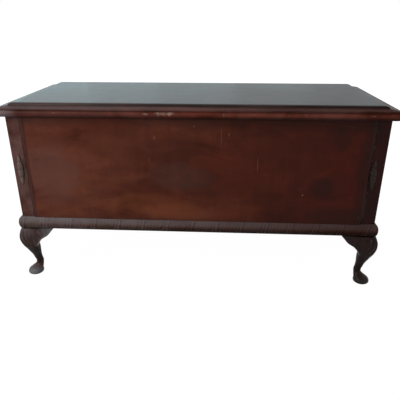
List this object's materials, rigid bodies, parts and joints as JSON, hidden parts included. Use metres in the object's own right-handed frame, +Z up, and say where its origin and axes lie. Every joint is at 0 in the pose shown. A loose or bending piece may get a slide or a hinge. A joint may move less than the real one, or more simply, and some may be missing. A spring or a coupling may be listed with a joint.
{
  "type": "cedar chest",
  "caption": "Veneered blanket chest with a hinged lid, gadrooned base moulding, carved cabriole legs, cedar lining and a folding brass lid stay.",
  "frame": {"origin": "on the floor under the middle of the case", "axes": "+Z up, +X along the length towards the right end, -Y towards the front"},
  "size_m": [1.23, 0.5094, 0.616],
  "materials": {
    "show_veneer": "red-brown mahogany veneer under old satin varnish, patchy and a little faded",
    "case_wood": "dark red-brown hardwood, satin varnish worn along the edges",
    "carved_wood": "near-black brown carved hardwood, dull varnish, worn lighter on the high places",
    "lid_veneer": "dark brown veneer with a greyish glossy film that mirrors the light",
    "plain_wood": "unpolished secondary wood, brown with age",
    "cedar": "bare red cedar, planed, with pale sapwood streaks and small knots",
    "brass": "aged brass, dulled",
    "steel": "dull steel with slight tarnish"
  },
  "bodies": {
    "case": {"front_panel": "show_veneer", "side_panel_left": "show_veneer", "side_panel_right": "show_veneer", "stile_left": "case_wood", "stile_right": "case_wood", "carved_drop_left": "carved_wood", "carved_drop_right": "carved_wood", "back_panel": "plain_wood", "lining_front": "cedar", "lining_back": "cedar", "lining_left": "cedar", "lining_right": "cedar", "floor_board_1": "cedar", "floor_board_2": "cedar", "floor_board_3": "cedar", "base_moulding_front": "carved_wood", "base_moulding_left": "carved_wood", "base_moulding_right": "carved_wood", "base_rail_back": "plain_wood", "corner_block_front_left": "plain_wood", "corner_block_front_right": "plain_wood", "corner_block_back_left": "plain_wood", "corner_block_back_right": "plain_wood", "leg_front_left": "carved_wood", "leg_front_right": "carved_wood", "leg_back_left": "carved_wood", "leg_back_right": "carved_wood", "wing_front_left_face": "carved_wood", "wing_front_right_face": "carved_wood", "wing_front_left_side": "carved_wood", "wing_front_right_side": "carved_wood", "wing_back_left_side": "carved_wood", "wing_back_right_side": "carved_wood", "hinge_left_case_leaf": "brass", "hinge_right_case_leaf": "brass", "hinge_left_pin": "steel", "hinge_right_pin": "steel", "hinge_left_case_screw_1": "steel", "hinge_left_case_screw_2": "steel", "hinge_right_case_screw_1": "steel", "hinge_right_case_screw_2": "steel", "stay_case_bracket": "brass"},
    "lid": {"lid_field": "lid_veneer", "lid_rim_front": "case_wood", "lid_rim_left": "case_wood", "lid_rim_right": "case_wood", "lid_rail_back": "case_wood", "lid_lining": "cedar", "hinge_left_lid_leaf": "brass", "hinge_right_lid_leaf": "brass", "hinge_left_lid_screw_1": "steel", "hinge_left_lid_screw_2": "steel", "hinge_right_lid_screw_1": "steel", "hinge_right_lid_screw_2": "steel", "stay_lid_bracket": "brass"},
    "stay_lower": {"stay_lower_arm": "brass"},
    "stay_upper": {"stay_upper_arm": "brass"}
  },
  "joints": [
    {"name": "lid_hinge", "type": "hinge", "parent": "case", "child": "lid", "pos_m": [0, 0.23925, 0.57563], "axis": [-1, 0, 0], "range_deg": [0, 95]},
    {"name": "stay_case_pivot", "type": "hinge", "parent": "case", "child": "stay_lower", "pos_m": [0.5625, 0.15525, 0.39963], "axis": [-1, 0, 0], "range_deg": [0, 95]},
    {"name": "stay_lid_pivot", "type": "hinge", "parent": "lid", "child": "stay_upper", "pos_m": [0.56, 0.04325, 0.56163], "axis": [1, 0, 0], "range_deg": [0, 95]}
  ],
  "couplings": [
    {"joint": "stay_case_pivot", "follows": "lid_hinge", "ratio": 1},
    {"joint": "stay_lid_pivot", "follows": "lid_hinge", "ratio": 1}
  ]
}
